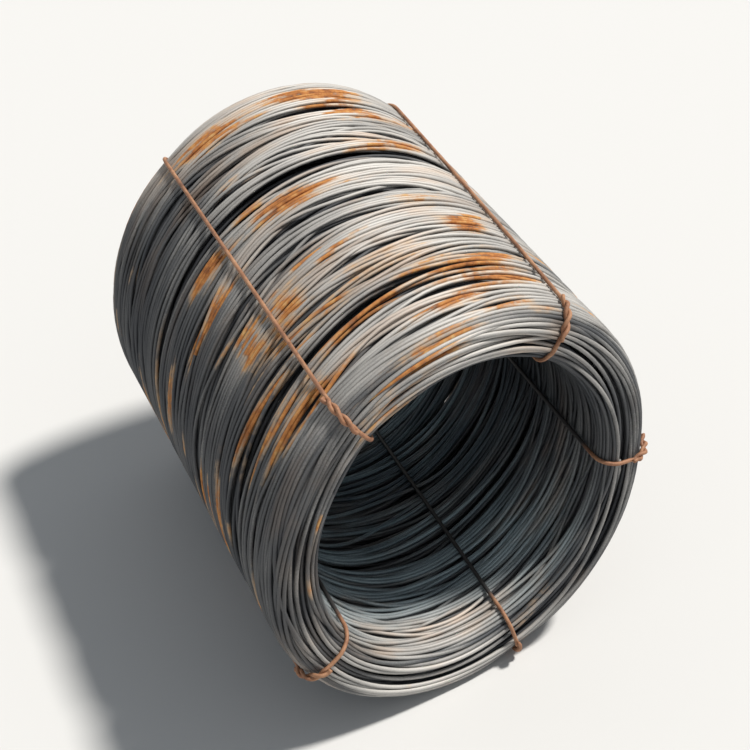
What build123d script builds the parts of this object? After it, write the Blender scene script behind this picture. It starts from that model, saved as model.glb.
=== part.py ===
"""Coil of hot-rolled wire rod, lying on its side, tied with five wires.

The pack of turns is one turned solid with its bore along X. Each tie wire is a loop that
runs along the outside of the pack, over one end, back through the bore and over the other
end. Z is up, and the coil lies on the floor at Z = 0. All sizes are in millimetres.
"""

import os
from math import cos, pi, radians, sin

from build123d import *

os.makedirs("parts", exist_ok=True)

# Driving dimensions: the pack of turns
ROD_D = 12  # the rod that the coil is wound of
BORE_D = 930
WALL = 160  # from the bore to the outside
COIL_LENGTH = 1500
OUTER_ROUND = 65  # where an end turns over into the outside
INNER_ROUND = 60  # where an end turns over into the bore
SIDE_BUNCHES = 6  # bunches of turns along the outside
BORE_BUNCHES = 2  # bunches of turns along the bore
LIP_TURNS = 4  # turns side by side in a bunch of an end
GROOVE_DEPTH = 15  # between two bunches

# Driving dimensions: the tie wires
TIE_D = 12
WIRE_SIDES = 8  # flats of a wire's section, which stands for a round one
TIE_GAP = 0.3  # clearance between a tie wire and the crests of the pack
TIE_ANGLES = (53, 128, 212, 286, 356)  # degrees about X, from +Y towards +Z
LAP_BUNCHES = 3  # bunches of the +X end that a wire's two ends lie over, side by side

# Worked out from the driving dimensions
BORE_R = BORE_D / 2
OUTER_R = BORE_R + WALL
HALF_LENGTH = COIL_LENGTH / 2
AXIS_HEIGHT = OUTER_R
LIP_FLAT = WALL - OUTER_ROUND - INNER_ROUND
LIP_LENGTH = (OUTER_ROUND + INNER_ROUND) * pi / 2 + LIP_FLAT
LIP_BUNCHES = round(LIP_LENGTH / (LIP_TURNS * ROD_D))
WIRE_TURN = 180 / WIRE_SIDES  # puts a flat of the wire against the pack
TIE_OFFSET = TIE_GAP + TIE_D / 2  # from the crests of the pack to the middle of a tie wire


def lip_point(along, inset):
    """Point on the section of the +X end, `along` millimetres from where the end leaves the
    outside, and `inset` millimetres inside the pack. Three stretches follow each other: the
    outer round, the flat of the end and the inner round."""
    outer_arc = OUTER_ROUND * pi / 2
    if along <= outer_arc:
        turn = along / OUTER_ROUND
        reach = OUTER_ROUND - inset
        x = HALF_LENGTH - OUTER_ROUND + reach * sin(turn)
        y = OUTER_R - OUTER_ROUND + reach * cos(turn)
    elif along <= outer_arc + LIP_FLAT:
        x = HALF_LENGTH - inset
        y = OUTER_R - OUTER_ROUND - (along - outer_arc)
    else:
        turn = (along - outer_arc - LIP_FLAT) / INNER_ROUND
        reach = INNER_ROUND - inset
        x = HALF_LENGTH - INNER_ROUND + reach * cos(turn)
        y = BORE_R + INNER_ROUND - reach * sin(turn)
    return x, y


def zigzag(length, bunches):
    """Crests and grooves along a stretch, as (distance, inset) pairs. It starts and ends on a
    crest, and between two crests there is one groove."""
    half_pitch = length / bunches / 2
    return [(half_pitch * step, GROOVE_DEPTH * (step % 2)) for step in range(2 * bunches + 1)]


def pack_section():
    """Corner points of the turned section, once round: the outside towards +X, the +X end,
    the bore towards -X and the -X end, which mirrors the other."""
    side_length = COIL_LENGTH - 2 * OUTER_ROUND
    bore_length = COIL_LENGTH - 2 * INNER_ROUND
    side = [(s - side_length / 2, OUTER_R - inset) for s, inset in zigzag(side_length, SIDE_BUNCHES)]
    lip = [lip_point(*place) for place in zigzag(LIP_LENGTH, LIP_BUNCHES)]
    bore = [(bore_length / 2 - s, BORE_R + inset) for s, inset in zigzag(bore_length, BORE_BUNCHES)]
    far_lip = [(-x, y) for x, y in reversed(lip)]
    return side[:-1] + lip[:-1] + bore[:-1] + far_lip[:-1]


# The pack of turns: bunches of turns show as ridges on the ends, the outside and the bore
with BuildPart() as rod_pack:
    with BuildSketch(Plane.XY.offset(AXIS_HEIGHT)):
        with BuildLine():
            Polyline(*pack_section(), close=True)
        make_face()
    revolve(axis=Axis((0, 0, AXIS_HEIGHT), (1, 0, 0)))
rod_pack.part.label = "rod_pack"
export_step(rod_pack.part, "parts/rod_pack.step")


def radial_plane(angle):
    """Plane through the coil's axis: its x runs along the axis, its y outwards at `angle`."""
    turn = radians(angle)
    return Plane(origin=(0, 0, AXIS_HEIGHT), x_dir=(1, 0, 0), z_dir=(0, -sin(turn), cos(turn)))


def wire_section(path, plane):
    """Sketch plane across the start of `path`, a route in `plane`, with its x square to it."""
    return Plane(origin=path @ 0, x_dir=plane.z_dir, z_dir=path % 0)


# The crests that a tie wire is pulled tight over, once round the wall of the pack
near_crests = [lip_point(LIP_LENGTH * step / LIP_BUNCHES, 0) for step in range(LIP_BUNCHES + 1)]
far_crests = [(-x, y) for x, y in reversed(near_crests)]

# The tie wires: each one runs straight from crest to crest and closes on itself. Its own two
# ends lie side by side over the outer bunches of the +X end, where they are twisted together
for number, angle in enumerate(TIE_ANGLES, start=1):
    plane = radial_plane(angle)
    with BuildPart() as tie_wire:
        with BuildLine(plane) as loop:
            Polyline(*near_crests, *far_crests, close=True)
            offset(amount=TIE_OFFSET, kind=Kind.INTERSECTION, mode=Mode.REPLACE)
        route = loop.wire()
        with BuildSketch(wire_section(route, plane)):
            RegularPolygon(TIE_D / 2, side_count=WIRE_SIDES, major_radius=False, rotation=WIRE_TURN)
        sweep(path=route, transition=Transition.RIGHT)
        end_edges = route.edges().filter_by(lambda edge: edge.center().X > HALF_LENGTH - OUTER_ROUND)
        outer_edges = end_edges.sort_by(Axis(plane.origin, plane.y_dir))[-LAP_BUNCHES:]
        lap = Wire(outer_edges).moved(Location(plane.z_dir * TIE_D))
        with BuildSketch(wire_section(lap, plane)):
            RegularPolygon(TIE_D / 2, side_count=WIRE_SIDES, major_radius=False, rotation=WIRE_TURN)
        sweep(path=lap, transition=Transition.RIGHT)
    tie_wire.part.label = f"tie_wire_{number}"
    export_step(tie_wire.part, f"parts/tie_wire_{number}.step")
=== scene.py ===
# %% [markdown]
# # A coil of hot-rolled wire rod
# The real object is one very long steel rod, 12 mm thick. It comes hot off the rolling mill
# as a row of overlapping loops, which are pressed together into a coil and tied with five
# wires. Here it lies on its side, with its round bore facing us.
#
# The CAD frame gives the size and the place of everything. We load it first, because what we
# draw has to fill the same place.

# %% Load the frame
import math

import bpy
import numpy as np
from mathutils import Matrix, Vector
from mathutils.geometry import convex_hull_2d


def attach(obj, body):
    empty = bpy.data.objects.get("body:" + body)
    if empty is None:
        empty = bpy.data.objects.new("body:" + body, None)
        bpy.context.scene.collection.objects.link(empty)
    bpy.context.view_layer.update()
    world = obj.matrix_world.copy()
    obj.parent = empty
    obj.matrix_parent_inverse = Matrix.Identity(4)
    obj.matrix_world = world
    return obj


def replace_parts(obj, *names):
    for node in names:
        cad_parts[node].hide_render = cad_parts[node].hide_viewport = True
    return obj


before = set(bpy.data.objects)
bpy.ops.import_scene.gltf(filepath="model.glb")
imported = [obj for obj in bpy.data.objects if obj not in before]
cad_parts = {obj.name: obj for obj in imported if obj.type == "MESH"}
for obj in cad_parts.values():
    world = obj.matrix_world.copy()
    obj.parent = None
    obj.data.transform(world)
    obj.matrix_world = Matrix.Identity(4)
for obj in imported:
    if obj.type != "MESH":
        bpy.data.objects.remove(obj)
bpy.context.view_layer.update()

print("nodes:", sorted(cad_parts))

# %% [markdown]
# ## The sizes of the coil
# The coil's axis runs along X, at the height of its outside radius. The end that faces us is
# at +X. An angle round the axis is counted from +Y towards +Z, so 90 degrees is the top and
# 270 degrees is where the coil rests on the floor.
#
# A coil that has been lifted, carried and laid down is never quite square: its top and its
# right side have slid back, so every turn leans. We keep that lean as a shear along X.

# %% Sizes
ROD_D = 0.012
TIE_D = 0.012
BORE_R = 0.465
OUTER_R = 0.625
LENGTH = 1.42  # from end to end at any one angle; the lean comes on top
OUTER_ROUND = 0.070  # where an end turns over into the outside
INNER_ROUND = 0.060  # where an end turns over into the bore
LEAN_Y, LEAN_Z = -0.12, -0.10  # metres along X for each metre of Y and of Z
AXIS_HEIGHT = OUTER_R
TIE_ANGLES = (53, 128, 212, 286, 356)
TIE_SLANTS = (7, 0, 0, 0, 0)  # degrees that a wire turns between mid length and an end

TURNS = 690
STEPS = 96  # points on each turn
STEEL = 7850  # kilograms in a cubic metre
ROD_LENGTH = TURNS * math.pi * (BORE_R + OUTER_R)
ROD_MASS = ROD_LENGTH * math.pi / 4 * ROD_D ** 2 * STEEL
print("rod length %.0f m, mass %.0f kg" % (ROD_LENGTH, ROD_MASS))

# %% [markdown]
# ## How the loops lie
# A loop is smaller than the outside of the coil and larger than its bore, so it can't touch
# the outside all the way round. It touches the outside on one side and the bore on the
# opposite side. The next loop falls a little further round, so the touching side creeps round
# the coil as the loops follow each other. That is why a strand comes up to the surface, runs
# along it for part of the way round, and dives under its neighbours again.
#
# One could draw rings side by side, but the result looks like a spring. Here we start every
# loop off where the laying machine drops it, with its own scatter.

# %% Drop the loops
rng = np.random.default_rng(12)
angle = np.linspace(0, 2 * np.pi, STEPS, endpoint=False)
turn = np.arange(TURNS)
along = turn[:, None] + angle[None, :] / (2 * np.pi)
theta = np.broadcast_to(angle, along.shape)


def smooth_noise(spread, reach):
    """One random value for each turn, averaged over `reach` neighbours by a bell curve and
    scaled back to `spread`, then read off along the rod by straight interpolation."""
    wide = math.ceil(4 * reach)
    bell = np.exp(-0.5 * (np.arange(-wide, wide + 1) / reach) ** 2)
    raw = rng.normal(size=TURNS + len(bell) - 1)
    value = np.convolve(raw, bell / np.sqrt((bell ** 2).sum()), "valid") * spread
    return np.interp(along, turn + 0.5, value)


def sway(waves, spread, reach):
    """A wave round the coil: the sum of cosines and sines of 1, 2, 3... times the angle, each
    weaker than the last, with strengths that drift slowly from turn to turn."""
    total = np.zeros((TURNS, STEPS))
    for n in range(1, waves + 1):
        total += smooth_noise(spread / n, reach) * np.cos(n * angle)
        total += smooth_noise(spread / n, reach) * np.sin(n * angle)
    return total


# Along the axis: a pitch that is closer at both ends, some scatter, and loops that are bent
# out of their plane, partly like their neighbours and partly each in its own way
share = (along + 0.5) / TURNS * 2 - 1
crowd = 1.125 * share - 0.125 * share ** 7
drop_x = (crowd * (LENGTH - ROD_D) / 2 + smooth_noise(0.003, 1)
          + sway(3, 0.008, 12) + sway(3, 0.006, 1))

# Across the wall: a loop's middle is off the axis, and the side that it is off to goes once
# round the coil in about 41 turns. A loop that runs near a skin of the wall swings less
CREEP = 41
room = (OUTER_R - BORE_R - ROD_D) / 2
phase = 2 * np.pi * along / CREEP + smooth_noise(0.5, 1) + 0.9 * np.sin(along / 55)
level = room * np.clip(smooth_noise(1.7, 1) + 0.08, -0.95, 0.95)
swing = (room - np.abs(level)) * 0.8
drop_r = (OUTER_R + BORE_R) / 2 + level + swing * np.cos(angle - phase)
print("loops:", drop_x.shape, "swing %.0f mm" % (1000 * swing.mean()))

# %% [markdown]
# ## Gaps between the bunches
# On the real coil the strands draw together in bunches, with dark gaps between them. The gaps
# run part of the way round, wander a little and close where strands cross them. The ones that
# we see best are listed: how far each clears the strands to both sides in millimetres,
# then a few points with their place along the axis and their angle. The rest of the way round,
# and in the bore, chance places some more of the same kind.

# %% Where the gaps run
GAPS = [
    (18, (-0.500, 92), (-0.490, 104), (-0.467, 128), (-0.472, 158)),
    (18, (-0.400, 100), (-0.390, 116), (-0.378, 134)),
    (22, (-0.300, 50), (-0.318, 72), (-0.294, 100), (-0.290, 124)),
    (9, (-0.140, 54), (-0.157, 75), (-0.177, 88), (-0.158, 107), (-0.165, 122)),
    (22, (0.075, 58), (0.030, 80), (-0.010, 98), (-0.006, 117), (-0.012, 138)),
    (22, (0.112, 80), (0.091, 104), (0.097, 130), (0.112, 162)),
    (20, (0.296, 74), (0.269, 93), (0.262, 107), (0.246, 118)),
    (18, (0.402, 70), (0.365, 89), (0.358, 106)), (20, (0.328, 106), (0.324, 120), (0.318, 144)),
    (10, (0.438, 86), (0.428, 100), (0.412, 118)), (18, (0.496, 52), (0.486, 75), (0.492, 104)),
    (18, (0.518, 56), (0.543, 80), (0.525, 112)), (18, (0.656, 70), (0.636, 92), (0.630, 112)),
    (20, (0.590, 98), (0.578, 128), (0.582, 162)), (14, (0.376, 124), (0.380, 162)),
    (18, (0.165, 130), (0.168, 164)), (18, (-0.026, 138), (-0.020, 168)),
    (18, (-0.555, 138), (-0.548, 162)), (16, (-0.235, 128), (-0.228, 165)),
]
BORE_GAPS = []
luck = np.random.default_rng(5)


def chance_gap(width, place, middle, reaches, scatter, wander, turned):
    """A gap near a place and an angle: a line of three points that reaches equally far round
    to both sides and drifts along the axis by `wander`. Its middle is moved by `scatter` along
    the axis and by up to `turned` degrees round it."""
    reach = luck.uniform(*reaches)
    start = place + luck.normal(0, scatter)
    drift = luck.normal(0, wander)
    degrees = middle + luck.uniform(-turned, turned)
    return (width, (start - drift, degrees - reach), (start, degrees),
            (start + drift, degrees + reach))


# The rows are staggered, and those of the bore lie half a pitch aside of the outer ones, so
# that no two gaps join into one that can be looked through
PITCH = 0.058
for place in np.arange(-0.62, 0.63, PITCH):
    for middle, aside in ((188, 0), (240, PITCH / 2), (300, 0), (355, PITCH / 2)):
        GAPS.append(chance_gap(8, place + aside, middle, (18, 36), 0.015, 0.014, 22))
for place in np.arange(-0.62 + PITCH / 2, 0.66, PITCH):
    for middle in (15, 165, 225, 300):
        BORE_GAPS.append(chance_gap(15, place, middle, (22, 46), 0.008, 0.010, 25))
print("gaps outside:", len(GAPS), "in the bore:", len(BORE_GAPS))


def off_angle(a, b):
    """How far angle a is past angle b, in radians, the short way round."""
    return (a - b + np.pi) % (2 * np.pi) - np.pi


SPAN = 1.44  # the stretch of the axis that is divided into cells


def middles(cells):
    """Where the middles of the cells are along the axis."""
    return (np.arange(cells) + 0.5) / cells * SPAN - SPAN / 2


def cell_of(x, cells, margin=0):
    """The number of the cell that holds x, at least `margin` cells away from the last ones."""
    cell = ((x + SPAN / 2) / SPAN * cells).astype(int)
    return np.clip(cell, margin, cells - 1 - margin)


def gap_table(gaps, cells=720):
    """For every angle and every 2 mm along the axis: how far a strand's middle has to move to
    leave the gap. A gap's line runs straight from point to point. With v from -1 to 1 along
    it, the gap is wide by the root of 1 - v^2, so its width falls to nothing at both ends."""
    table = np.zeros((STEPS, cells))
    for width, *points in gaps:
        places, degrees = np.array(points).T
        first, last = np.radians(degrees[0]), np.radians(degrees[-1])
        past = (angle - first + 0.5) % (2 * np.pi) - 0.5
        line = np.interp(past, np.radians(degrees) - first, places)
        v = past / (last - first) * 2 - 1
        half = width / 1000 * np.sqrt(np.clip(1 - v * v, 0, 1))
        away = middles(cells)[None, :] - line[:, None]
        table += np.sign(away) * np.maximum(half[:, None] - np.abs(away), 0)
    return table


OUTSIDE, INSIDE = gap_table(GAPS), gap_table(BORE_GAPS)


def read_table(table, x):
    """The table's value for each strand at each angle."""
    return table[np.arange(STEPS)[None, :], cell_of(x, table.shape[1])]


def part_at_gaps(x, r):
    """How far each strand moves aside in one round. Outside, the gaps are 34 mm deep on top and
    24 mm at the bottom, and in the bore they are 24 mm. Deeper strands stay and show dark."""
    deep = 0.029 + 0.005 * np.sin(angle)
    outer = np.clip((r - OUTER_R + deep) / 0.01, 0, 1)
    inner = np.clip((BORE_R + 0.024 - r) / 0.01, 0, 1)
    return read_table(OUTSIDE, x) * outer + read_table(INSIDE, x) * inner


# Gaps in the two ends: radius, number of waves, where the waves start, and half the width
LIP_GAPS = (
    (0.492, 2, 0.6, 0.005), (0.521, 3, 2.0, 0.004),
    (0.551, 1, 3.3, 0.005), (0.580, 2, 4.4, 0.004),
)


def part_at_lips(x, r):
    """The same across the wall, in the last 35 mm before the two ends. The gaps run round the
    axis. Each one's radius sways by 7 mm, and it opens and closes once for each wave."""
    near_end = np.clip((np.abs(x) - LENGTH / 2 + 0.035) / 0.01, 0, 1)
    total = np.zeros_like(x)
    for radius, waves, start, width in LIP_GAPS:
        line = radius + 0.007 * np.cos((waves + 1) * angle + start)
        half = width * np.clip(0.5 + 0.9 * np.cos(waves * angle + 2 * start), 0, 1)
        away = r - line
        total += np.sign(away) * np.maximum(half - np.abs(away), 0)
    return total * near_end


# %% [markdown]
# ## Settle the rod
# Now the strands cut through each other, which steel can't do. We look at the coil as a stack
# of cross-sections, one at each angle. In a cross-section each strand is a small circle.
# Wherever two circles overlap, each is pushed away by about half of the overlap. Strands in a
# gap are moved out of it, and strands deep in the wall are drawn to where it is empty, so that
# nobody sees through it. Then three things bring the rod back to what it is: a stiff rod, so
# fast wiggles along it are filtered out with a Fourier transform of the whole length, a
# springy rod, so it is drawn a little towards where it fell, and a pressed coil, so it is held
# inside the wall. After 250 rounds the strands lie beside and across each other, and sink into
# each other by less than a millimetre on average.

# %% Settle the rod
def spread_core(x, r, cells=120):
    """How far the strands in the middle of the wall are drawn to the emptier side. A cell of
    12 mm with n strands in it is empty by exp(-n), plus 0.3 times the same for its strands in
    the middle of the wall alone."""
    cell = cell_of(x, cells, 2)
    rows = np.broadcast_to(np.arange(STEPS)[None, :], x.shape)
    core = np.clip((0.055 - np.abs(r - (OUTER_R + BORE_R) / 2)) / 0.01, 0, 1)
    total, middle = np.zeros((STEPS, cells)), np.zeros((STEPS, cells))
    np.add.at(total, (rows, cell), 1.0)
    np.add.at(middle, (rows, cell), core)
    within = np.abs(middles(cells)) < LENGTH / 2 - 0.04
    empty = (np.exp(-total) + 0.3 * np.exp(-middle)) * within
    near = empty[rows, cell + 1] - empty[rows, cell - 1]
    far = empty[rows, cell + 2] - empty[rows, cell - 2]
    return 0.006 * (near + far / 2) * core


def inside_wall(x, r, theta):
    """Holds the middle of every strand inside the wall: a rectangle with rounded corners in
    the cross-section. The tie wires have drawn both ends in by 9 mm where they pass."""
    pinch = sum(np.exp(-(off_angle(theta, math.radians(a)) / 0.18) ** 2) for a in TIE_ANGLES)
    half = LENGTH / 2 - ROD_D / 2 - 0.009 * pinch
    x = np.clip(x, -half, half)
    r = np.clip(r, BORE_R + ROD_D / 2, OUTER_R - ROD_D / 2)
    for corner, side, edge in ((OUTER_ROUND, 1, OUTER_R), (INNER_ROUND, -1, BORE_R)):
        radius = corner - ROD_D / 2
        middle_x, middle_r = half - radius, edge - side * corner
        over_x, over_r = np.abs(x) - middle_x, (r - middle_r) * side
        reach = np.hypot(over_x, over_r)
        out = (over_x > 0) & (over_r > 0) & (reach > radius)
        back = np.where(out, radius / np.maximum(reach, 1e-9), 1)
        x = np.where(out, np.sign(x) * (middle_x + over_x * back), x)
        r = np.where(out, middle_r + side * over_r * back, r)
    return x, r


def stiffen(shift, limit):
    """Low-pass filter along the rod: a wave of n wiggles a turn keeps 1 / (1 + (n/limit)^6)."""
    flat = shift.ravel()
    wave = np.fft.rfft(flat)
    wiggles = np.fft.rfftfreq(flat.size, 1 / STEPS)
    return np.fft.irfft(wave / (1 + (wiggles / limit) ** 6), flat.size).reshape(shift.shape)


EASE = 1.3  # a push is carried a little too far, which settles the coil sooner
KEEP_X, KEEP_R = 0.998, 0.995  # how much of a shift the spring leaves in a round


def settle(x0, r0, theta, rounds=250, neighbours=9, limit=10):
    """Pushes overlapping strands apart in every cross-section, `rounds` times over. The strands
    are sorted along the axis, so that each has to be compared with a few neighbours alone. One
    that is pushed from n sides moves by the sum of the pushes over the root of n."""
    x, r = x0.copy(), r0.copy()
    for _ in range(rounds):
        order = np.argsort(x, axis=0)
        sx, sr = np.take_along_axis(x, order, 0), np.take_along_axis(r, order, 0)
        push_x, push_r, hits = np.zeros_like(x), np.zeros_like(x), np.zeros_like(x)
        for k in range(1, neighbours + 1):
            gap_x, gap_r = sx[k:] - sx[:-k], sr[k:] - sr[:-k]
            apart = np.sqrt(gap_x ** 2 + gap_r ** 2) + 1e-9
            overlap = np.maximum(ROD_D - apart, 0)
            half = overlap / apart / 2
            push_x[k:] += half * gap_x
            push_x[:-k] -= half * gap_x
            push_r[k:] += half * gap_r
            push_r[:-k] -= half * gap_r
            hits[k:] += overlap > 0
            hits[:-k] += overlap > 0
        ease = EASE / np.sqrt(np.maximum(hits, 1))
        move_x, move_r = np.empty_like(x), np.empty_like(x)
        np.put_along_axis(move_x, order, push_x * ease, 0)
        np.put_along_axis(move_r, order, push_r * ease, 0)
        move_x += part_at_gaps(x, r) + spread_core(x, r)
        move_r += part_at_lips(x, r)
        x = x0 + stiffen(x + move_x - x0, limit) * KEEP_X
        r = r0 + stiffen(r + move_r - r0, limit) * KEEP_R
        x, r = inside_wall(x, r, theta)
    return x, r


rod_x, rod_r = settle(drop_x, drop_r, theta)
print("settled; strands reach %.3f to %.3f m along the axis" % (rod_x.min(), rod_x.max()))

# %% [markdown]
# ## Turn the paths into steel
# Each strand is a tube: its profile, a ring of corners, is carried along the path. Six corners
# are enough, because the rod is only a few pixels thick and smooth shading rounds it off. The
# rod is cut into five equal lengths, so that each mesh stays small enough to handle.
#
# The UV map lays every turn out as a straight strip, one above the other, so that rust and
# scale can be written to an image without any overlap.

# %% A tube along a path
def to_space(x, r, theta):
    """From a place along the axis, a radius and an angle to X, Y and Z, with the lean added."""
    y, z = r * np.cos(theta), r * np.sin(theta)
    return np.stack([x + LEAN_Y * y + LEAN_Z * z, y, z + AXIS_HEIGHT], -1)


def unit(v):
    """The same directions, with length 1."""
    return v / np.linalg.norm(v, axis=-1, keepdims=True)


def tube(name, path, outward, radius, sides, strip=None, **tints):
    """Corner k of ring i is the path's point i plus radius times (cos t, sin t), t = 2 pi k /
    sides, measured from the outward direction made square to the path. Each ring is joined to
    the next by a band of quads, and the two ends get a cap. A row of the UV map is `strip`
    bands long, or holds all of them. Each tint is one number for every point of the path,
    which the material reads by its name."""
    tangent = unit(np.gradient(path, axis=0))
    normal = unit(outward - (outward * tangent).sum(-1, keepdims=True) * tangent)
    side = np.cross(tangent, normal)
    t = 2 * np.pi * np.arange(sides) / sides
    ring = normal[:, None] * np.cos(t)[None, :, None] + side[:, None] * np.sin(t)[None, :, None]
    corners = (path[:, None] + radius * ring).reshape(-1, 3)

    bands = len(path) - 1
    i = np.repeat(np.arange(bands), sides)
    k = np.tile(np.arange(sides), bands)
    j, m = i + 1, (k + 1) % sides
    quads = np.stack([i * sides + k, i * sides + m, j * sides + m, j * sides + k], 1)
    caps = np.concatenate([np.arange(sides)[::-1], bands * sides + np.arange(sides)])
    loops = np.concatenate([quads.ravel(), caps])
    sizes = np.concatenate([np.full(len(quads), 4), [sides, sides]])
    starts = np.concatenate([[0], np.cumsum(sizes)[:-1]])

    columns = strip or bands
    row, column = i // columns, i % columns
    rows = math.ceil(bands / columns)
    u = np.stack([column, column, column + 1, column + 1], 1) / columns
    v = (row[:, None] + np.stack([k, k + 1, k + 1, k], 1) / sides * 0.92 + 0.04) / rows
    uv = np.concatenate([np.stack([u, v], -1).reshape(-1, 2), np.zeros((2 * sides, 2))])

    mesh = bpy.data.meshes.new(name)
    mesh.vertices.add(len(corners))
    mesh.vertices.foreach_set("co", corners.astype(np.float32).ravel())
    mesh.loops.add(len(loops))
    mesh.loops.foreach_set("vertex_index", loops.astype(np.int32))
    mesh.polygons.add(len(sizes))
    mesh.polygons.foreach_set("loop_start", starts.astype(np.int32))
    mesh.polygons.foreach_set("use_smooth", np.ones(len(sizes), bool))
    mesh.uv_layers.new(name="OFBake").data.foreach_set("uv", uv.astype(np.float32).ravel())
    for tint, value in tints.items():
        layer = mesh.attributes.new(tint, "FLOAT", "POINT")
        layer.data.foreach_set("value", np.repeat(value, sides).astype(np.float32))
    mesh.update(calc_edges=True)
    mesh.validate()
    piece = bpy.data.objects.new(name, mesh)
    bpy.context.collection.objects.link(piece)
    return piece


# %% [markdown]
# ## Rust where the coil has it
# Rust on wire rod starts where the mill scale is rubbed off and rain stays: in patches on the
# top, and along single strands. A noise pattern alone would put it anywhere. So some fifty
# patches are listed, each with its place along the axis, its angle, its half length
# in metres, its half width in degrees, and how strong it is. They are stored on the mesh as a
# number from 0 to 1, and the material breaks that number up into streaks.

# %% Rust patches
RUST = (
    (-0.585, 78, 0.035, 14, 1.0), (-0.49, 75, 0.10, 4, 0.85), (-0.46, 66, 0.08, 4, 0.5),
    (-0.57, 113, 0.04, 11, 0.7), (-0.095, 110, 0.038, 9, 1.0), (-0.125, 136, 0.03, 7, 0.95),
    (0.005, 141, 0.026, 10, 1.0), (-0.235, 73, 0.035, 10, 0.6), (0.235, 65, 0.05, 6, 0.85),
    (0.195, 106, 0.02, 3, 0.8), (0.25, 121, 0.055, 4, 0.7), (0.225, 135, 0.09, 4, 0.6),
    (0.435, 73, 0.065, 10, 0.85), (0.535, 79, 0.022, 12, 0.9), (0.36, 114, 0.025, 7, 0.9),
    (0.425, 92, 0.035, 6, 0.7), (0.46, 108, 0.016, 20, 0.75), (0.684, 108, 0.013, 16, 0.9),
    (0.655, 72, 0.022, 8, 0.7), (0.41, 144, 0.018, 18, 0.95), (0.382, 142, 0.012, 16, 0.8),
    (0.505, 138, 0.022, 12, 0.6), (0.57, 140, 0.03, 13, 0.85), (-0.315, 115, 0.022, 4, 0.6),
    (-0.185, 119, 0.022, 5, 0.6), (0.31, 128, 0.05, 8, 0.5), (-0.70, 66, 0.02, 12, 0.7),
    (0.33, 96, 0.05, 12, 0.35), (0.10, 76, 0.05, 7, 0.4), (0.60, 92, 0.03, 10, 0.45),
    (0.30, 20, 0.035, 16, 0.8), (-0.20, 34, 0.09, 5, 0.7), (-0.55, 350, 0.025, 26, 0.8),
    (0.50, 352, 0.05, 7, 0.6), (-0.40, 205, 0.03, 24, 0.7), (0.15, 196, 0.06, 6, 0.6),
    (-0.68, 150, 0.02, 30, 0.9), (-0.68, 25, 0.025, 12, 0.8), (0.35, 306, 0.03, 20, 0.7),
    (-0.15, 318, 0.09, 5, 0.6), (0.68, 300, 0.015, 14, 0.5), (-0.05, 18, 0.018, 22, 0.9),
    (0.05, 232, 0.07, 5, 0.6), (-0.62, 255, 0.02, 20, 0.7), (0.58, 12, 0.02, 16, 0.9),
    (-0.34, 4, 0.02, 12, 0.7), (0.13, 348, 0.015, 8, 0.8), (-0.45, 38, 0.05, 9, 0.6),
    (0.42, 28, 0.02, 7, 0.9), (0.55, 210, 0.015, 18, 0.7), (0.30, 178, 0.012, 14, 0.8),
    (-0.10, 176, 0.02, 9, 0.6), (-0.58, 192, 0.012, 10, 0.8), (0.62, 330, 0.02, 24, 0.6),
)


def rust_weight(x, theta):
    """The strongest patch at a point: each falls off from its middle by exp(-(u^2 + v^2)^1.5),
    where u and v are the distances along and round in half lengths and half widths."""
    weight = np.zeros_like(x)
    for place, degrees, half_x, half_t, strength in RUST:
        u = (x - place) / half_x
        v = off_angle(theta, math.radians(degrees)) / math.radians(half_t)
        weight = np.maximum(weight, 1.1 * strength * np.exp(-((u * u + v * v) ** 1.5)))
    return weight


print("rust patches:", len(RUST))

# %% [markdown]
# ## Where light and weather reach
# Strands that lie deep, or that show at the bottom of a gap, are painted dark: partly dirt, and
# partly painted shade in the hollows. The outermost ones are painted pale on the top, on both
# ends and on the sill of the bore, partly as wear and partly as painted light where the lamp
# falls. The bore's wall is painted darker than the outside, as painted shade. Its lower half is
# painted a little paler and cooler, as painted sky light in that shade.
#
# A shader could feel for such places from point to point, but that is slow among so many
# strands. Here all of it follows from how deep a strand lies below the outside, the bore and
# the nearer end.

# %% Depths of the strands
def rise(value, start, stop):
    """0 at `start`, 1 at `stop`, straight between them and level beyond, either way round."""
    return np.clip((value - start) / (stop - start), 0, 1)


def turned_to(degrees, start, stop):
    """The same for how many degrees a place is turned away from an angle."""
    return rise(np.degrees(np.abs(off_angle(theta, math.radians(degrees)))), start, stop)


from_end = LENGTH / 2 - np.abs(rod_x)
below_outside = OUTER_R - ROD_D / 2 - rod_r
below_bore = rod_r - BORE_R - ROD_D / 2
below_end = from_end - ROD_D / 2
depth = np.minimum(np.minimum(below_outside, below_bore), below_end)
on_end = rise(from_end, 0.09, 0.03)
in_bore = rise(below_bore, 0.03, 0)
print("strands below 20 mm: %.0f%%" % (100 * (depth > 0.02).mean()))

# %% Painted shade with dirt, painted light with wear, and tint
# Painted shade: strands deep in the wall, and those at the bottom of a gap, are marked to be
# darkened, partly as dirt.
outer_gap = np.abs(read_table(OUTSIDE, rod_x)) * (below_outside < 0.08)
bore_gap = np.abs(read_table(INSIDE, rod_x)) * (below_bore < 0.08)
in_gap = rise(outer_gap + bore_gap, 0, 0.002) * rise(depth, 0.007, 0.015)
shade_and_dirt = np.maximum(rise(depth, 0.011, 0.029) * (1 - 0.45 * on_end), 0.80 * in_gap)

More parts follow.
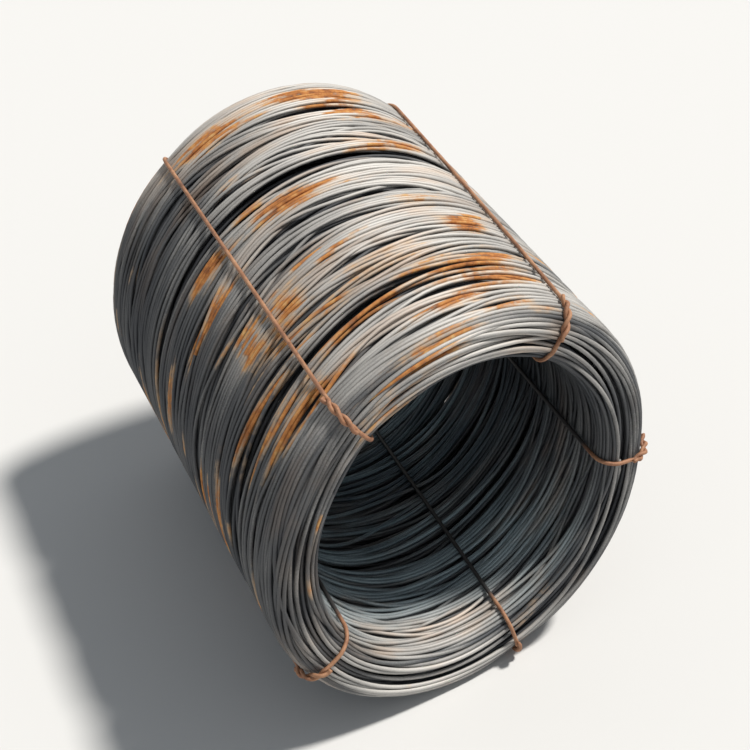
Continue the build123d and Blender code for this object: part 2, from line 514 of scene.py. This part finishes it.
# Painted light: the top, both ends, the sill of the bore and the near part of the lower bore are
# marked to be painted paler, partly as wear. The bore's wall is marked for painted shade, and its
# lower half for a cooler, paler painted sky light.
upward, lower = turned_to(80, 86.25, 11.25), turned_to(255, 65, 15)
skin = rise(np.minimum(below_outside, below_end), 0.024, 0.008)
sill = rise(from_end, 0.25, 0.13) * rise(below_bore, 0.024, 0.008) * lower
cool = turned_to(265, 112, 42) * in_bore
inside = np.maximum(in_bore * rise(from_end, 0.03, 0.53), 0.85 * cool) * (1 - sill)
wear_and_painted_light = np.maximum.reduce([
    skin * np.maximum(upward, on_end * (0.3 + 0.8 * lower)),
    sill,
    (0.30 + 0.42 * rise(from_end, 0.55, 0.20)) * cool * (below_end > 0.02),
])
print("weathered share: %.0f%%" % (100 * (wear_and_painted_light > 0.5).mean()))

# %% Rust and tone
SPECKS = 16  # chances of a speck of rust on each turn
ragged = rust_weight(rod_x + smooth_noise(0.006, 1), theta + smooth_noise(0.10, 0.6))
speck = np.interp(
    along, np.arange(TURNS * SPECKS + 1) / SPECKS, rng.normal(size=TURNS * SPECKS + 1))
rust = skin * np.maximum(ragged, 0.75 * rise(speck, 1.8, 2.5))
tone = np.clip(0.5 + smooth_noise(0.06, 1) + smooth_noise(0.06, 6), 0, 1)
print("rusted share of the skin: %.1f%%" % (100 * (rust * skin > 0.3).sum() / (skin > 0).sum()))

# %% Make the rod
PIECES = 5
points = to_space(rod_x, rod_r, theta).reshape(-1, 3)
radial = np.stack([0 * theta, np.cos(theta), np.sin(theta)], -1).reshape(-1, 3)
tints = {"tone": tone, "rust": rust, "shade_and_dirt": shade_and_dirt, "wear_and_painted_light": wear_and_painted_light,
         "inside": inside, "cool": cool}
chunk = TURNS // PIECES * STEPS
rods = []
for n in range(PIECES):
    cut = slice(n * chunk, min((n + 1) * chunk + 1, len(points)))
    piece = tube(
        "rod_turns_%d" % (n + 1), points[cut], radial[cut], ROD_D / 2, 6, strip=STEPS,
        **{tint: value.ravel()[cut] for tint, value in tints.items()},
    )
    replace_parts(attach(piece, "root"), "rod_pack")
    rods.append(piece)
    print(piece.name, "faces:", len(piece.data.polygons))

# %% [markdown]
# ## Tie wires
# A tie wire is pulled tight round the wall of the coil: along the outside, over the near end,
# back through the bore and over the far end. A tight wire touches only what stands out most,
# and spans the rest in straight lines. That is what a convex hull is, so we take the strands'
# cross-section where the wire passes and let the hull of their circles give its route.
#
# It is one wire whose two ends lie over each other on the near end, twisted together.

# %% Route of a tie wire
LAP = 0.125  # how far the wire's two ends lie over each other
TWIST = 0.075  # length of one full twist
TIE_STEP = 0.004  # between two points of the wire


def lean_at(t):
    """What the lean adds to X at an angle, for each metre of radius."""
    return LEAN_Y * math.cos(t) + LEAN_Z * math.sin(t)


def tie_slant(x, slant):
    """The angle that a slanted wire has turned at a place along the axis, in radians: nothing
    at mid length and plus or minus the slant at the ends."""
    return math.radians(slant) * np.clip(x / (LENGTH / 2), -1, 1)


def strands_under(t, slant):
    """Where the strands' middles lie below the wire: the place with the lean, and the radius,
    both at the two angles that the wire runs between."""
    middle = rod_x[:, int(t / (2 * math.pi) * STEPS) % STEPS]
    at = (t + tie_slant(middle, slant)) / (2 * math.pi) * STEPS
    here = at.astype(int) % STEPS
    rows = np.tile(np.arange(TURNS), 2)
    columns = np.concatenate([here, (here + 1) % STEPS])
    r = rod_r[rows, columns]
    return np.stack([rod_x[rows, columns] + r * lean_at(t), r], -1)


def even_points(loop):
    """The same closed line with its points evenly apart, rounded off over some 6 mm by a bell
    curve that slides round it, as a product of Fourier transforms."""
    loop = np.concatenate([loop, loop[:1]])
    gone = np.concatenate([[0], np.cumsum(np.linalg.norm(np.diff(loop, axis=0), axis=1))])
    count = int(gone[-1] / TIE_STEP)
    even = np.linspace(0, gone[-1], count, endpoint=False)
    even = np.stack([np.interp(even, gone, loop[:, a]) for a in (0, 1)], -1)
    bell = np.exp(-0.5 * (np.fft.fftfreq(count, 1 / count) / 1.6) ** 2)
    bell /= bell.sum()
    return np.fft.ifft(np.fft.fft(even, axis=0) * np.fft.fft(bell)[:, None], axis=0).real


def tie_route(t, slant):
    """The hull, as points (along X, outwards) evenly 4 mm apart, starting where the route
    turns over the near end, going inwards. The circles of the strands are grown by the wire's
    radius, so that the hull is the wire's middle line."""
    spokes = np.linspace(0, 2 * np.pi, 32, endpoint=False)
    circle = (ROD_D + TIE_D) / 2 * np.stack([np.cos(spokes), np.sin(spokes)], -1)
    cloud = (strands_under(t, slant)[:, None] + circle).reshape(-1, 2)
    route = even_points(cloud[convex_hull_2d([tuple(p) for p in cloud])])
    after = np.roll(route, -1, 0)
    area = np.sum(route[:, 0] * after[:, 1] - after[:, 0] * route[:, 1])
    if area > 0:  # the points run the wrong way round
        route = route[::-1]
    return np.roll(route, -np.argmax(route.sum(1)), 0)


def ramp(v):
    """From 0 to 1 without a kink: 3v^2 - 2v^3."""
    v = np.clip(v, 0, 1)
    return v * v * (3 - 2 * v)


def make_tie(name, degrees, slant):
    """The wire's middle line runs once round the route and half a lap further at both ends.
    In the lap each end is offset by a + a cos p outwards and a sin p sideways, where p turns
    with the distance along, and the two ends are half a turn apart."""
    t = math.radians(degrees)
    route = tie_route(t, slant)
    step = np.linalg.norm(np.diff(route, axis=0), axis=1).mean()
    total = len(route) * step
    s = np.arange(-LAP / 2, total + LAP / 2, TIE_STEP)
    ring = np.arange(len(route) + 1) * step
    wrapped = np.concatenate([route, route[:1]])
    along_x = np.interp(s % total, ring, wrapped[:, 0])
    along_r = np.interp(s % total, ring, wrapped[:, 1])
    flat_x, flat_r = np.gradient(along_x), np.gradient(along_r)
    size = np.hypot(flat_x, flat_r)
    out_x, out_r = -flat_r / size, flat_x / size

    # q is counted from the middle of the lap, and `tail` the same way at both ends: from
    # -LAP / 2, where the end joins the lap, to LAP / 2, where it is cut off and sticks out
    first = s < total / 2
    q = np.where(first, s, s - total)
    tail = np.where(first, -q, q)
    joined = ramp((tail + LAP / 2) / 0.03)
    loose = ramp((tail - LAP / 2 + 0.02) / 0.02)
    a = TIE_D * 0.52 * joined * (np.abs(q) < LAP / 2)
    p = 2 * np.pi * q / TWIST + np.where(first, 0.0, np.pi)
    lift = a * (1 + np.cos(p)) + 0.007 * loose
    sideways = a * np.sin(p) + 0.005 * loose * np.where(first, 1, -1)

    x = along_x + out_x * lift
    r = along_r + out_r * lift
    turned = t + tie_slant(x, slant)
    y, z = np.cos(turned), np.sin(turned)
    path = np.stack([x, r * y - sideways * z, r * z + sideways * y + AXIS_HEIGHT], -1)
    outward = np.stack([out_x, out_r * y, out_r * z], -1)
    # Outside and over the near end the wire takes rust colour. In the bore it stays black, partly
    # its own skin and partly painted shade.
    outer_half = rise(r - (BORE_R + OUTER_R) / 2, -0.04, -0.01)
    near_face = rise(LENGTH / 2 - (x - r * lean_at(t)), 0.13, 0.08)
    rained_on = np.maximum(outer_half, near_face)
    return tube(name, path, outward, TIE_D / 2, 8, rained_on=rained_on)


ties = []
for number, (degrees, slant) in enumerate(zip(TIE_ANGLES, TIE_SLANTS), start=1):
    piece = make_tie("tie_round_%d" % number, degrees, slant)
    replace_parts(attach(piece, "root"), "tie_wire_%d" % number)
    ties.append(piece)
print("tie wires:", [len(piece.data.polygons) for piece in ties])

# %% [markdown]
# ## Materials
# Hot-rolled rod is covered in mill scale, a dark blue-grey oxide skin with a dull sheen. It is
# worn to a lighter grey where strands rub, and it rusts from bright orange to brown. The
# pattern follows the strands: the noise is stretched round the coil, along the lean.

# %% Helpers for materials
def feed(node, key, value):
    """Gives an input of a node its value, or links it where the value is another's output."""
    if isinstance(value, bpy.types.NodeSocket):
        node.id_data.links.new(value, node.inputs[key])
    else:
        node.inputs[key].default_value = value


def new_material(name):
    """An empty material, its Principled shader, and a short way to add nodes."""
    material = bpy.data.materials.new(name)
    material.use_nodes = True
    nodes = material.node_tree.nodes

    def add(kind, **settings):
        node = nodes.new("ShaderNode" + kind)
        inputs = settings.pop("inputs", {})
        for key, value in settings.items():
            setattr(node, key, value)
        for key, value in inputs.items():
            feed(node, key, value)
        return node

    return material, nodes["Principled BSDF"], add


def ramp_of(add, value, *stops):
    """A Color Ramp on value, with stops of (position, colour)."""
    node = add("ValToRGB", inputs={0: value})
    band = node.color_ramp
    while len(band.elements) < len(stops):
        band.elements.new(0.5)
    for element, (position, colour) in zip(band.elements, stops):
        element.position = position
        element.color = (*colour, 1)
    return node.outputs["Color"]


def blend_of(add, factor, a, b, how="MIX"):
    """Two colours mixed by a factor."""
    node = add("Mix", data_type="RGBA", blend_type=how)
    for key, value in ((0, factor), (6, a), (7, b)):
        feed(node, key, (*value, 1) if isinstance(value, tuple) else value)
    return node.outputs[2]


def math_of(add, how, a, b=None, c=None, clamp=False):
    """One sum, product or the like of numbers."""
    node = add("Math", operation=how, use_clamp=clamp)
    for key, value in enumerate((a, b, c)):
        if value is not None:
            feed(node, key, value)
    return node.outputs[0]


def stir_of(add, base, pattern, strength):
    """A number that a pattern moves up and down: base + strength (pattern - 0.5)."""
    return math_of(add, "MULTIPLY_ADD", math_of(add, "SUBTRACT", pattern, 0.5), strength, base)


def step_of(add, value, low, high):
    """A step without a kink: 0 up to `low`, 1 from `high` on."""
    node = add("MapRange", interpolation_type="SMOOTHSTEP", inputs={0: value, 1: low, 2: high})
    return node.outputs[0]


def stored_of(add, name):
    """A number that is stored on the mesh."""
    return add("Attribute", attribute_name=name).outputs["Fac"]


def along_strands(add, fine, coarse):
    """Object coordinates stretched round the coil: the place along the axis, with the lean
    taken off, times `fine`, and the other two times `coarse`."""
    place = add("TexCoord").outputs["Object"]
    square = add("VectorMath", operation="DOT_PRODUCT", inputs={0: place, 1: (1, -LEAN_Y, -LEAN_Z)})
    split = add("SeparateXYZ", inputs={0: place})
    return add("CombineXYZ", inputs={
        0: math_of(add, "MULTIPLY", square.outputs["Value"], fine),
        1: math_of(add, "MULTIPLY", split.outputs[1], coarse),
        2: math_of(add, "MULTIPLY", split.outputs[2], coarse),
    }).outputs[0]


def noise_of(add, where, scale, detail=3.0, rough=0.55):
    """A soft random pattern between 0 and 1."""
    node = add("TexNoise", inputs={
        "Vector": where, "Scale": scale, "Detail": detail, "Roughness": rough})
    return node.outputs["Fac"]


# %% Mill scale with rust
def rod_steel():
    """Grey mill scale, worn paler and stained warm on the top, the ends and the sill of the bore,
    where it is also painted paler as painted light. The bore's wall gets a darker painted shade,
    cooler and paler in its lower half. Over it lie a thin stain and full rust, wherever the rust
    number, stirred by four patterns, is high enough. Last comes the painted shade, with some
    dirt, of the deep strands."""
    material, shader, add = new_material("mill_scale_and_rust")
    place = add("TexCoord").outputs["Object"]
    tone, rust, shade_and_dirt, wear_and_painted_light, inside, cool = [stored_of(add, name) for name in tints]
    streaks = noise_of(add, along_strands(add, 55, 3), 1.0, 4)
    patches = noise_of(add, along_strands(add, 7, 3), 1.0, 3)
    grains = noise_of(add, place, 260, 3, 0.6)

    wear_and_light_level = math_of(add, "MULTIPLY_ADD", streaks, 0.3, math_of(add, "MULTIPLY", tone, 0.45))
    wear_and_light_level = math_of(add, "MULTIPLY_ADD", patches, 0.4, wear_and_light_level)
    wear_and_light_level = math_of(add, "SUBTRACT", stir_of(add, wear_and_light_level, grains, 0.2), 0.255)
    # Painted light: the top, the ends and the sill of the bore are lifted paler, partly as wear.
    wear_and_light_level = math_of(add, "MULTIPLY_ADD", wear_and_painted_light, 0.38, wear_and_light_level)
    scale = ramp_of(add, wear_and_light_level, (0.26, (0.038, 0.042, 0.049)), (0.42, (0.100, 0.103, 0.107)),
                    (0.58, (0.34, 0.33, 0.315)), (0.78, (0.56, 0.54, 0.51)))
    # Painted shade in the bore: darker in its upper half, and cooler and paler in its lower half as
    # painted sky light.
    shade = blend_of(add, cool, (0.25, 0.29, 0.31), (0.70, 0.98, 1.15))
    scale = blend_of(add, inside, scale, blend_of(add, 1.0, scale, shade, "MULTIPLY"))

    bloom = step_of(add, noise_of(add, along_strands(add, 13, 3), 1.0, 4, 0.6), 0.47, 0.68)
    bloom = math_of(add, "MULTIPLY", math_of(add, "MULTIPLY", bloom, wear_and_painted_light), 0.34)
    scale = blend_of(add, bloom, scale, (0.55, 0.34, 0.19))

    fibres = noise_of(add, along_strands(add, 90, 5), 1.0, 3, 0.6)
    spots = noise_of(add, place, 30, 4, 0.65)
    drawn = rust
    for pattern, strength in ((fibres, 1.5), (spots, 1.0), (patches, 1.2), (tone, 1.2)):
        drawn = stir_of(add, drawn, pattern, strength)
    near_rust = math_of(add, "MULTIPLY", rust, 7, clamp=True)
    rusted = math_of(add, "MULTIPLY", step_of(add, drawn, 0.34, 0.7), near_rust, clamp=True)
    stained = math_of(add, "MULTIPLY", step_of(add, drawn, 0.0, 0.45), near_rust)
    stained = math_of(add, "MULTIPLY", stained, 0.6, clamp=True)
    hue = math_of(add, "MULTIPLY_ADD", spots, 0.7, math_of(add, "MULTIPLY", fibres, 0.35))
    colour = ramp_of(add, hue, (0.38, (0.13, 0.05, 0.022)), (0.48, (0.36, 0.13, 0.035)),
                     (0.58, (0.52, 0.22, 0.06)), (0.68, (0.60, 0.37, 0.15)))
    mixed = blend_of(add, stained, scale, (0.56, 0.39, 0.24))
    mixed = blend_of(add, rusted, mixed, colour)
    # Painted shade of the deep strands and the gaps, with some dirt.
    shade_and_dirt_amount = math_of(add, "MULTIPLY", shade_and_dirt, 0.78)
    feed(shader, "Base Color", blend_of(add, shade_and_dirt_amount, mixed, (0.036, 0.038, 0.044)))

    rough = math_of(add, "MULTIPLY_ADD", grains, 0.2, 0.52)
    feed(shader, "Roughness", math_of(add, "MULTIPLY_ADD", rusted, 0.25, rough, clamp=True))
    bare = math_of(add, "SUBTRACT", 1.0, math_of(add, "MAXIMUM", rusted, shade_and_dirt))
    feed(shader, "Metallic", math_of(add, "MULTIPLY", bare, 0.25))
    height = math_of(add, "MULTIPLY_ADD", rusted, 0.6, grains)
    bump = add("Bump", inputs={"Height": height, "Strength": 0.35, "Distance": 0.0008})
    feed(shader, "Normal", bump.outputs[0])
    return material


# %% Rusty tie wire
def tie_steel():
    """Black wire, blotched with brown rust on the outside and over the near end. In the bore it
    stays black, partly its own skin and partly painted shade.
    """
    material, shader, add = new_material("rusty_tie_wire")
    rained_on = stored_of(add, "rained_on")
    place = add("TexCoord").outputs["Object"]
    blotches = noise_of(add, place, 22, 4, 0.65)
    grains = noise_of(add, place, 380, 3, 0.6)
    mix = math_of(add, "MULTIPLY_ADD", grains, 0.35, math_of(add, "MULTIPLY", blotches, 0.65))
    colour = ramp_of(add, mix, (0.32, (0.11, 0.05, 0.03)), (0.46, (0.30, 0.14, 0.075)),
                     (0.6, (0.44, 0.235, 0.13)), (0.75, (0.56, 0.36, 0.23)))
    # In the bore the wire is painted black, partly its own skin and partly painted shade.
    feed(shader, "Base Color", blend_of(add, rained_on, (0.035, 0.032, 0.032), colour))
    feed(shader, "Roughness", math_of(add, "MULTIPLY_ADD", blotches, 0.3, 0.5))
    feed(shader, "Metallic", 0.15)
    bump = add("Bump", inputs={"Height": mix, "Strength": 0.4, "Distance": 0.0008})
    feed(shader, "Normal", bump.outputs[0])
    return material


steel, tie = rod_steel(), tie_steel()
for piece in rods:
    piece.data.materials.append(steel)
for piece in ties:
    piece.data.materials.append(tie)
print("materials:", [material.name for material in (steel, tie)])

# %% [markdown]
# ## Floor, light and camera
# The floor is plain and pale. The world is an even sky that fills the shade. What the camera
# sees of it, straight on or by reflection, is as pale as the floor.

# %% Floor and world
FLOOR = 150.0  # metres from the middle to each side, so that no edge shows
corners = [(-FLOOR, -FLOOR, 0), (FLOOR, -FLOOR, 0), (FLOOR, FLOOR, 0), (-FLOOR, FLOOR, 0)]
floor_mesh = bpy.data.meshes.new("floor")
floor_mesh.from_pydata(corners, [], [(0, 1, 2, 3)])
floor = bpy.data.objects.new("floor", floor_mesh)
bpy.context.collection.objects.link(floor)
pale, shader, _ = new_material("pale_floor")
feed(shader, "Base Color", (0.68, 0.675, 0.665, 1))
feed(shader, "Roughness", 0.9)
floor_mesh.materials.append(pale)

world = bpy.data.worlds.new("studio")
bpy.context.scene.world = world
world.use_nodes = True
nodes = world.node_tree.nodes
sky = nodes["Background"]
feed(sky, "Color", (0.86, 0.93, 1.0, 1))
feed(sky, "Strength", 0.32)
backdrop = nodes.new("ShaderNodeBackground")
feed(backdrop, "Color", (0.86, 0.855, 0.845, 1))
ray = nodes.new("ShaderNodeLightPath")
looked_at = ray.outputs["Is Camera Ray"]
for kind in ("Is Glossy Ray", "Is Transmission Ray"):
    either = nodes.new("ShaderNodeMath")
    either.operation = "MAXIMUM"
    feed(either, 0, looked_at)
    feed(either, 1, ray.outputs[kind])
    looked_at = either.outputs[0]
choice = nodes.new("ShaderNodeMixShader")
for key, value in enumerate((looked_at, sky.outputs[0], backdrop.outputs[0])):
    feed(choice, key, value)
feed(nodes["World Output"], "Surface", choice.outputs[0])
print("floor and sky are set")

# %% [markdown]
# One soft lamp shines from where the sun stood in the photograph: high up and beyond the
# coil's right side. So the top is bright, the flank that we see lies in soft shade, and the
# light reaches a little way into the bore.

# %% Lamp
lamp_data = bpy.data.lights.new("key", "SUN")
lamp_data.energy = 4.0
lamp_data.angle = math.radians(7)
lamp_data.color = (1.0, 0.97, 0.92)
lamp = bpy.data.objects.new("key", lamp_data)
toward = Vector((0.06, 0.50, 0.86)).normalized()
lamp.rotation_mode = "QUATERNION"
lamp.rotation_quaternion = toward.to_track_quat("Z", "Y")
lamp.location = toward * 5
bpy.context.collection.objects.link(lamp)
print("the lamp stands %.0f degrees high" % math.degrees(math.asin(toward.z)))

# %% [markdown]
# The camera stands where the photographer stood: above and to the right of the coil, a few
# metres away. It is turned to face the coil, and its lens is long enough to fill the frame.

# %% Camera
EYE = Vector((3.384, -1.518, 3.572))
LOOK_AT = Vector((0.02, 0.02, 0.625))
LENS = 74.0
camera_data = bpy.data.cameras.new("camera")
camera_data.lens = LENS
camera_data.sensor_width = 36
camera = bpy.data.objects.new("camera", camera_data)
camera.location = EYE
camera.rotation_mode = "QUATERNION"
camera.rotation_quaternion = (EYE - LOOK_AT).to_track_quat("Z", "Y")
bpy.context.collection.objects.link(camera)
bpy.context.scene.camera = camera
bpy.context.scene.view_settings.view_transform = "Standard"
print("camera %.2f m from the coil" % (EYE - LOOK_AT).length)
